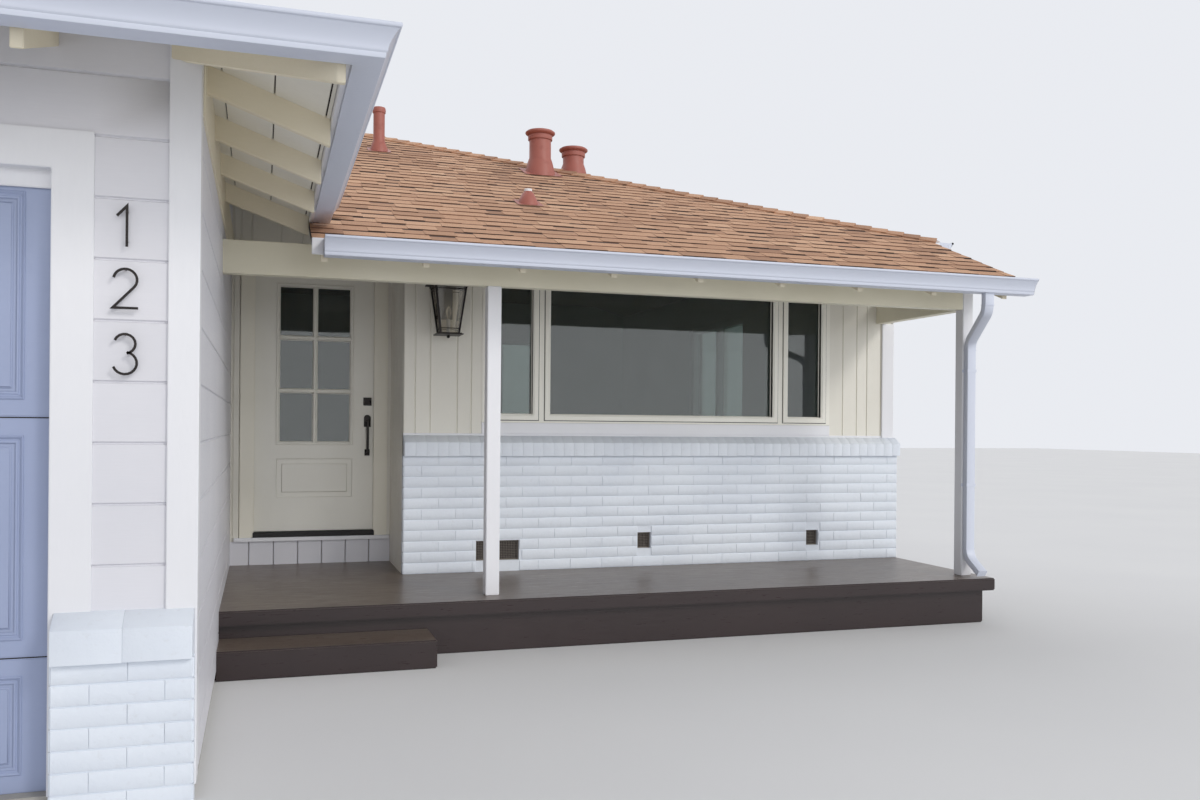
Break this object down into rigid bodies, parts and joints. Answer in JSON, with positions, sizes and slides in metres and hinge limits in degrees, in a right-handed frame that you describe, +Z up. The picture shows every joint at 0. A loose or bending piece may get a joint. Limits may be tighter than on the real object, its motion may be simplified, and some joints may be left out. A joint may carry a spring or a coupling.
{
  "type": "building",
  "caption": "Single-storey bungalow with a hipped roof, a front garage wing, a shallow covered porch, brick wainscot and a front door that opens.",
  "frame": {"origin": "bottom centre of the whole house's box", "axes": "+X runs along the front to the right, +Y to the back, +Z up"},
  "size_m": [12.21, 11.615, 4.5516],
  "materials": {
    "concrete": "smooth cast concrete",
    "floor_wood": "sanded boards",
    "cream_paint": "satin cream paint",
    "white_siding": "satin white paint",
    "white_trim": "satin white paint",
    "painted_brick": "painted fired clay",
    "roof_shingle": "mineral granules on shingles",
    "white_metal": "gloss white enamel",
    "dark_deck": "dark brown deck paint",
    "door_paint": "satin stone-coloured paint",
    "garage_panel": "satin pale paint on panels",
    "clear_glass": "clear",
    "dark_metal": "dark bronze",
    "hinge_steel": "brushed",
    "vent_paint": "brick-red paint"
  },
  "bodies": {
    "house": {"foundation": "concrete", "main_floor": "floor_wood", "garage_slab": "concrete", "front_wall": "cream_paint", "entry_return_wall": "cream_paint", "door_wall_left": "cream_paint", "door_wall_right": "cream_paint", "door_wall_head": "cream_paint", "right_wall": "white_siding", "back_wall": "white_siding", "left_wall": "white_siding", "garage_side_wall": "white_siding", "garage_left_wall": "white_siding", "garage_front_wall": "white_siding", "brick_wainscot": "painted_brick", "brick_cap": "painted_brick", "garage_wainscot": "painted_brick", "roof_front": "roof_shingle", "roof_back": "roof_shingle", "roof_ends": "roof_shingle", "garage_roof_front": "roof_shingle", "garage_roof_right": "roof_shingle", "garage_roof_left": "roof_shingle", "porch_rafters": "cream_paint", "garage_rafters": "white_trim", "fascia": "white_trim", "porch_gutter": "white_metal", "garage_gutter": "white_metal", "back_gutters": "white_metal", "downspout": "white_metal", "porch_beam": "cream_paint", "end_beam": "cream_paint", "posts": "white_trim", "porch_deck": "dark_deck", "entry_step": "dark_deck", "door_frame": "white_trim", "door_hinges": "hinge_steel", "door_sill": "white_trim", "window_frame": "white_trim", "window_glass": "clear_glass", "other_frames": "white_trim", "other_glass": "clear_glass", "garage_door": "garage_panel", "garage_door_frame": "white_trim", "lantern": "dark_metal", "lantern_glass": "clear_glass", "roof_vents": "vent_paint", "corner_trim": "white_trim", "crawl_vents": "dark_metal"},
    "door": {"front_door": "door_paint", "hinge_leaves": "hinge_steel", "door_glass": "clear_glass", "door_handle": "dark_metal"}
  },
  "joints": [
    {"name": "front_door_hinge", "type": "hinge", "parent": "house", "child": "door", "pos_m": [0.5675, -0.6945, 1.602], "axis": [0, 0, 1], "range_deg": [0, 100]}
  ]
}
